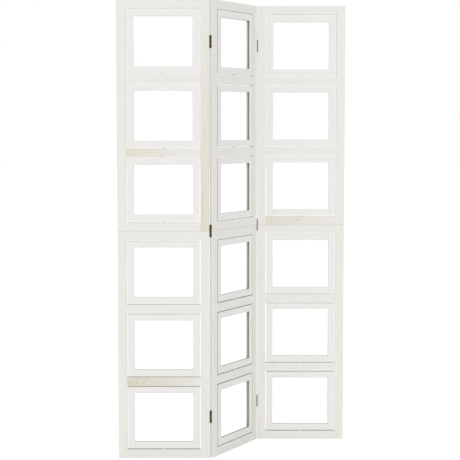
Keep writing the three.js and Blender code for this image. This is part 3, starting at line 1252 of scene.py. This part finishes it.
def hinge_leaf_tree():
    """One leaf with its knuckles, about the middle of the pin. The leaf with the pin has the
    first, third and fifth knuckle, and the other one has the second and fourth."""
    tree, given = new_tree(
        "hinge_leaf",
        side=1.0,
        face=1.0,
        has_pin=0,
        height=HINGE_HEIGHT,
        reach=LEAF_REACH,
        thickness=LEAF_THICKNESS,
        leaf_place=LEAF_PLACE,
        ease=LEAF_EASE,
        knuckles=KNUCKLES,
        knuckle_radius=KNUCKLE_RADIUS,
        knuckle_height=KNUCKLE_HEIGHT,
        play=FIT,
        pin_radius=HINGE_PIN_RADIUS,
        bore_radius=HINGE_BORE_RADIUS,
        screw_radius=SCREW_RADIUS + SCREW_PLAY,
        screw_place=SCREW_PLACE,
        screw_spread=SCREW_SPREAD,
        lift=0.0,
        **PLACE,
    )
    times = {"operation": "MULTIPLY"}
    size = (given["thickness"], given["reach"], given["height"])
    size = add(tree, "ShaderNodeCombineXYZ", size)
    leaf = add(
        tree,
        "GeometryNodeGroup",
        {"size": size, "ease": given["ease"]},
        node_tree=eased_block,
    )
    along = add(tree, "ShaderNodeMath", (given["leaf_place"], given["side"]), **times)
    across = add(tree, "ShaderNodeMath", (given["reach"], -0.5), **times)
    across = add(tree, "ShaderNodeMath", (across, given["face"]), **times)
    place = add(tree, "ShaderNodeCombineXYZ", (along, across, 0.0))
    leaf = add(tree, "GeometryNodeTransform", {"Geometry": leaf, "Translation": place})

    # Room for the other leaf's knuckles is cut from the leaf, and its own are grown onto it.
    count = given["knuckles"]
    pitch = add(
        tree, "ShaderNodeMath", (given["knuckle_height"], given["play"]), operation="ADD"
    )
    start = add(tree, "ShaderNodeMath", (count, -0.5, 0.5), operation="MULTIPLY_ADD")
    start = add(tree, "ShaderNodeMath", (start, pitch), **times)
    start = add(tree, "ShaderNodeCombineXYZ", (0.0, 0.0, start))
    step = add(tree, "ShaderNodeCombineXYZ", (0.0, 0.0, pitch))
    index = add(tree, "GeometryNodeInputIndex")
    own = add(tree, "ShaderNodeMath", (index, given["has_pin"]), operation="ADD")
    own = add(tree, "ShaderNodeMath", (own, 2.0), operation="MODULO")
    other = add(tree, "ShaderNodeMath", (1.0, own), operation="SUBTRACT")
    room_radius = add(
        tree, "ShaderNodeMath", (given["knuckle_radius"], given["play"]), operation="ADD"
    )
    room_height = add(
        tree,
        "ShaderNodeMath",
        (given["play"], 2.0, given["knuckle_height"]),
        operation="MULTIPLY_ADD",
    )
    room, knuckle = (
        add(
            tree,
            "GeometryNodeMeshCylinder",
            {"Vertices": 28, "Radius": radius, "Depth": height},
        )
        for radius, height in (
            (room_radius, room_height),
            (given["knuckle_radius"], given["knuckle_height"]),
        )
    )
    rooms = row_of(tree, room, count, start, step, Selection=other)
    own_knuckles = row_of(tree, knuckle, count, start, step, Selection=own)
    leaf = add(
        tree, "GeometryNodeMeshBoolean", {"Mesh 1": leaf, "Mesh 2": rooms}, **CUT_AWAY
    )
    leaf = add(
        tree, "GeometryNodeMeshBoolean", {"Mesh 2": [leaf, own_knuckles]}, **GROW_TOGETHER
    )

    through = add(tree, "ShaderNodeMath", (given["height"], CUT), operation="ADD")
    bore = add(
        tree,
        "GeometryNodeMeshCylinder",
        {"Vertices": 20, "Radius": given["bore_radius"], "Depth": through},
    )
    screw_hole = add(
        tree,
        "GeometryNodeMeshCylinder",
        {"Vertices": 28, "Radius": given["screw_radius"], "Depth": 4 * CUT},
    )
    start, step = screw_row(tree, given, along)
    quarter = (0, math.radians(90), 0)
    holes = row_of(tree, screw_hole, SCREWS_TO_A_LEAF, start, step, Rotation=quarter)
    for cutter in (bore, holes):
        leaf = add(
            tree, "GeometryNodeMeshBoolean", {"Mesh 1": leaf, "Mesh 2": cutter}, **CUT_AWAY
        )

    pin = add(
        tree,
        "GeometryNodeMeshCylinder",
        {"Vertices": 20, "Radius": given["pin_radius"], "Depth": given["height"]},
    )
    with_pin = add(tree, "GeometryNodeJoinGeometry", {"Geometry": [leaf, pin]})
    leaf = add(
        tree,
        "GeometryNodeSwitch",
        {"Switch": given["has_pin"], "False": leaf, "True": with_pin},
        input_type="GEOMETRY",
    )
    return end_tree(tree, given, leaf, leaf_finish, hinge_offset(tree, given))


hinge_leaf_work = hinge_leaf_tree()

for hinge, edges in HINGES.items():
    for panel, side, face, has_pin in edges:
        for place_name, height in zip(HINGE_PLACES, hinge_centres):
            leaf_name = "pin_leaf" if has_pin else "plain_leaf"
            make(
                f"{hinge}_hinge_{place_name}_{leaf_name}_pressed",
                hinge_leaf_work,
                f"{panel}_panel",
                "hinge_bronze",
                f"{hinge}_hinge_{place_name}_{leaf_name}",
                side=float(side),
                face=float(face),
                has_pin=int(has_pin),
                lift=height,
                place=places[panel],
                turn=turns[panel],
            )


# ---- The hinge screws ----
# Two countersunk steel screws to a leaf, with cross recesses, flush with the leaf. They are
# turned and pressed, brass plated, and darkened a little more than the leaves.

SCREW_DEPTH = 1.6 * MM
SCREW_TAPER = 0.55  # the foot of the head, as a share of its top
RECESS_SIZE = Vector((3.4, 0.8, 1.6)) * MM

screw_finish = antique_bronze("antique_brass_screw", "#4c4736", "#857b5c")


def screws_tree():
    """The two screws of one leaf, about the middle of the hinge's pin."""
    tree, given = new_tree(
        "hinge_screws",
        side=1.0,
        face=1.0,
        radius=SCREW_RADIUS,
        taper=SCREW_TAPER,
        depth=SCREW_DEPTH,
        recess=RECESS_SIZE,
        surface=LEAF_PLACE + LEAF_THICKNESS / 2,
        screw_place=SCREW_PLACE,
        screw_spread=SCREW_SPREAD,
        seed=0,
        lift=0.0,
        **PLACE,
    )
    times = {"operation": "MULTIPLY"}
    foot = add(tree, "ShaderNodeMath", (given["radius"], given["taper"]), **times)
    down = add(tree, "ShaderNodeMath", (given["depth"], -1.0), **times)
    sunk = add(tree, "ShaderNodeCombineXYZ", (0.0, 0.0, down))
    head = add(
        tree,
        "GeometryNodeMeshCone",
        {
            "Vertices": 28,
            "Radius Top": given["radius"],
            "Radius Bottom": foot,
            "Depth": given["depth"],
        },
    )
    head = add(tree, "GeometryNodeTransform", {"Geometry": head, "Translation": sunk})
    for quarter in (0, 90):
        blade = add(tree, "GeometryNodeMeshCube", {"Size": given["recess"]})
        blade = add(
            tree,
            "GeometryNodeTransform",
            {"Geometry": blade, "Rotation": (0, 0, math.radians(quarter))},
        )
        head = add(
            tree, "GeometryNodeMeshBoolean", {"Mesh 1": head, "Mesh 2": blade}, **CUT_AWAY
        )
    along = add(tree, "ShaderNodeMath", (given["surface"], given["side"]), **times)
    start, step = screw_row(tree, given, along)
    points = add(
        tree,
        "GeometryNodeMeshLine",
        {"Count": SCREWS_TO_A_LEAF, "Start Location": start, "Offset": step},
    )
    facing = add(tree, "ShaderNodeMath", (given["side"], math.radians(90)), **times)
    facing = add(tree, "ShaderNodeCombineXYZ", (0.0, facing, 0.0))
    screws = add(
        tree,
        "GeometryNodeInstanceOnPoints",
        {"Points": points, "Instance": head, "Rotation": facing},
    )
    spin = add(
        tree,
        "FunctionNodeRandomValue",
        {0: (0, 0, 0), 1: (0, 0, math.pi), "Seed": given["seed"]},
        data_type="FLOAT_VECTOR",
    )
    screws = add(
        tree, "GeometryNodeRotateInstances", {"Instances": screws, "Rotation": spin}
    )
    return end_tree(tree, given, screws, screw_finish, hinge_offset(tree, given))


screws_work = screws_tree()

for hinge, edges in HINGES.items():
    for panel, side, face, has_pin in edges:
        for index, (place_name, height) in enumerate(zip(HINGE_PLACES, hinge_centres)):
            make(
                f"{hinge}_hinge_{place_name}_{panel}_screws",
                screws_work,
                f"{panel}_panel",
                "hinge_bronze",
                side=float(side),
                face=float(face),
                seed=7 * index + 3 * has_pin + (hinge == "left"),  # a leaf's own number
                lift=height,
                place=places[panel],
                turn=turns[panel],
            )
